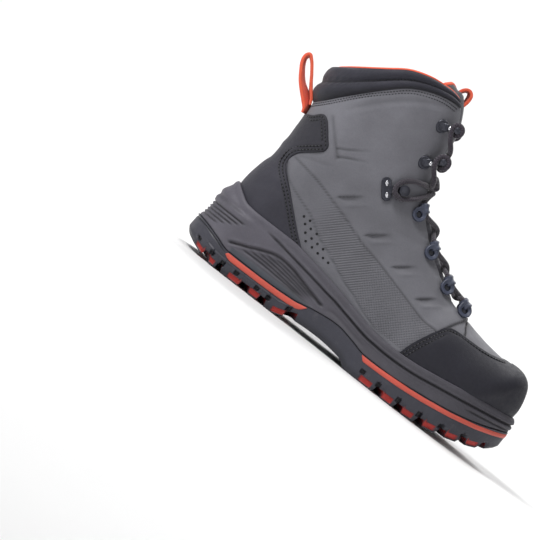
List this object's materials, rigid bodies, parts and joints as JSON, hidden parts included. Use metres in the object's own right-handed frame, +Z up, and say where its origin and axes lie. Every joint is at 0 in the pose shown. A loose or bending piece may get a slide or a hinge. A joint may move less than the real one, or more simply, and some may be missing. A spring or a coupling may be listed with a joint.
{
  "type": "wading boot",
  "caption": "Lace-up wading boot with a hollow ankle-high upper, padded collar, dark toe cap and heel counter, cupped midsole, lugged rubber outsole and pull loops.",
  "frame": {"origin": "middle of the footprint box, on the floor", "axes": "+X heel to toe, +Y towards the inner (medial) side of the right foot, +Z up"},
  "size_m": [0.3298, 0.1171, 0.2494],
  "materials": {
    "outsole_rubber": "moulded lugged rubber",
    "midsole_foam": "moulded foam with ribs and grooves",
    "insole_fabric": "cloth-faced foam",
    "upper_synthetic": "embossed matt synthetic",
    "overlay_dark": "fine-grained dark synthetic",
    "collar_fabric": "padded dark cloth",
    "tongue_fabric": "padded grey cloth",
    "webbing_orange": "woven webbing",
    "loop_plastic": "moulded navy plastic",
    "hook_metal": "dark painted metal with bright rivets",
    "lace_cord": "round braid"
  },
  "bodies": {
    "root": {"outsole": "outsole_rubber", "midsole": "midsole_foam", "insole": "insole_fabric", "upper": "upper_synthetic", "toe_cap": "overlay_dark", "heel_counter": "overlay_dark", "collar": "collar_fabric", "tongue": "tongue_fabric", "pull_loop_heel": "webbing_orange", "pull_loop_tongue": "webbing_orange", "loop_1_lateral": "loop_plastic", "loop_1_medial": "loop_plastic", "loop_2_lateral": "loop_plastic", "loop_2_medial": "loop_plastic", "loop_3_lateral": "loop_plastic", "loop_3_medial": "loop_plastic", "loop_4_lateral": "loop_plastic", "loop_4_medial": "loop_plastic", "lock_hook_lateral": "hook_metal", "lock_hook_medial": "hook_metal", "hook_1_lateral": "hook_metal", "hook_1_medial": "hook_metal", "hook_2_lateral": "hook_metal", "hook_2_medial": "hook_metal", "lace_crossing_1": "lace_cord", "lace_crossing_2": "lace_cord", "lace_crossing_3": "lace_cord", "lace_crossing_4": "lace_cord", "lace_crossing_5": "lace_cord"}
  },
  "joints": []
}
